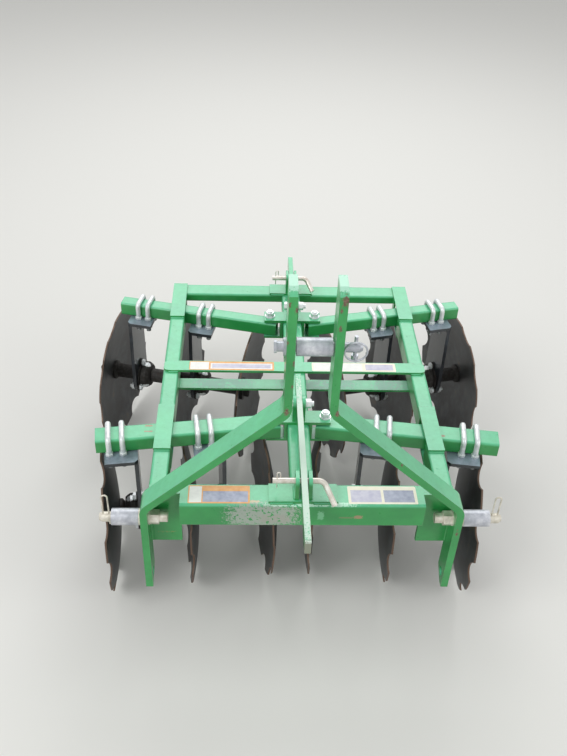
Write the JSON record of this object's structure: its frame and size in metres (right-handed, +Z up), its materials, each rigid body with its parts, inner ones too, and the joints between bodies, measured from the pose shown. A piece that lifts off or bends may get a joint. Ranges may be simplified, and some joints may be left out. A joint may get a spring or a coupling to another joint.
{
  "type": "tandem disc harrow",
  "caption": "Tandem disc harrow with four gangs of notched discs under a steel frame, angle bars and a three-point hitch mast.",
  "frame": {"origin": "on the ground under the middle of the whole machine", "axes": "+Z up, -Y forward towards the tractor, +X to the machine's left as it is towed"},
  "size_m": [1.0962, 1.1148, 1.004],
  "materials": {
    "green": "gloss",
    "zinc": "satin",
    "yellow_zinc": "satin",
    "black": "satin",
    "cast": "matte",
    "disc_steel": "satin"
  },
  "bodies": {
    "root": {"front_cross_tube": "green", "hitch_plate_L": "green", "hitch_plate_R": "green", "rear_cross_tube": "green", "side_tubes_L": "green", "side_tubes_R": "green", "window_straps_L": "green", "window_straps_R": "green", "centre_beam": "green", "upper_strap": "green", "lower_strap": "green", "mast_L": "green", "mast_R": "green", "hitch_pin_L": "zinc", "hitch_pin_R": "zinc", "hitch_bushing_L": "zinc", "hitch_bushing_R": "zinc", "top_link_pin": "zinc", "top_link_bushing": "zinc", "front_ears": "green", "rear_ears": "green", "front_l_pin": "yellow_zinc", "rear_l_pin": "yellow_zinc"},
    "front_shifter": {"front_bar": "green", "front_block": "green", "front_block_bolts": "zinc"},
    "rear_shifter": {"rear_bar": "green", "rear_block": "green", "rear_block_bolts": "zinc"},
    "gang_FL": {"gang_tube_FL": "green", "hangers_FL": "black", "u_bolts_FL": "zinc", "bearings_FL": "cast"},
    "discs_FL": {"axle_FL": "cast", "blades_FL": "disc_steel"},
    "gang_FR": {"gang_tube_FR": "green", "hangers_FR": "black", "u_bolts_FR": "zinc", "bearings_FR": "cast"},
    "discs_FR": {"axle_FR": "cast", "blades_FR": "disc_steel"},
    "gang_RL": {"gang_tube_RL": "green", "hangers_RL": "black", "u_bolts_RL": "zinc", "bearings_RL": "cast"},
    "discs_RL": {"axle_RL": "cast", "blades_RL": "disc_steel"},
    "gang_RR": {"gang_tube_RR": "green", "hangers_RR": "black", "u_bolts_RR": "zinc", "bearings_RR": "cast"},
    "discs_RR": {"axle_RR": "cast", "blades_RR": "disc_steel"}
  },
  "joints": [
    {"name": "front_slide", "type": "slide", "parent": "root", "child": "front_shifter", "axis": [0, 1, 0], "range_m": [-0.025, 0.025]},
    {"name": "rear_slide", "type": "slide", "parent": "root", "child": "rear_shifter", "axis": [0, 1, 0], "range_m": [-0.025, 0.025]},
    {"name": "swing_FL", "type": "hinge", "parent": "front_shifter", "child": "gang_FL", "pos_m": [-0.0635, -0.13039, 0.4316], "axis": [0, 0, 1], "range_deg": [-6, 6]},
    {"name": "swing_FR", "type": "hinge", "parent": "front_shifter", "child": "gang_FR", "pos_m": [0.0635, -0.13039, 0.4316], "axis": [0, 0, 1], "range_deg": [-6, 6]},
    {"name": "swing_RL", "type": "hinge", "parent": "rear_shifter", "child": "gang_RL", "pos_m": [-0.06, 0.27561, 0.4316], "axis": [0, 0, 1], "range_deg": [-6, 6]},
    {"name": "swing_RR", "type": "hinge", "parent": "rear_shifter", "child": "gang_RR", "pos_m": [0.06, 0.27561, 0.4316], "axis": [0, 0, 1], "range_deg": [-6, 6]},
    {"name": "roll_FL", "type": "hinge", "parent": "gang_FL", "child": "discs_FL", "pos_m": [-0.2216, -0.15148, 0.196], "axis": [-0.9912, -0.1323, 0], "continuous": true},
    {"name": "roll_FR", "type": "hinge", "parent": "gang_FR", "child": "discs_FR", "pos_m": [0.2216, -0.15148, 0.196], "axis": [0.9912, -0.1323, 0], "continuous": true},
    {"name": "roll_RL", "type": "hinge", "parent": "gang_RL", "child": "discs_RL", "pos_m": [-0.33005, 0.33499, 0.196], "axis": [-0.9767, 0.2147, 0], "continuous": true},
    {"name": "roll_RR", "type": "hinge", "parent": "gang_RR", "child": "discs_RR", "pos_m": [0.33005, 0.33499, 0.196], "axis": [0.9767, 0.2147, 0], "continuous": true}
  ],
  "couplings": [
    {"joint": "swing_FL", "follows": "front_slide", "rad_per_m": 4.0741},
    {"joint": "swing_FR", "follows": "front_slide", "rad_per_m": -4.0741},
    {"joint": "swing_RL", "follows": "rear_slide", "rad_per_m": 4.0169},
    {"joint": "swing_RR", "follows": "rear_slide", "rad_per_m": -4.0169}
  ]
}
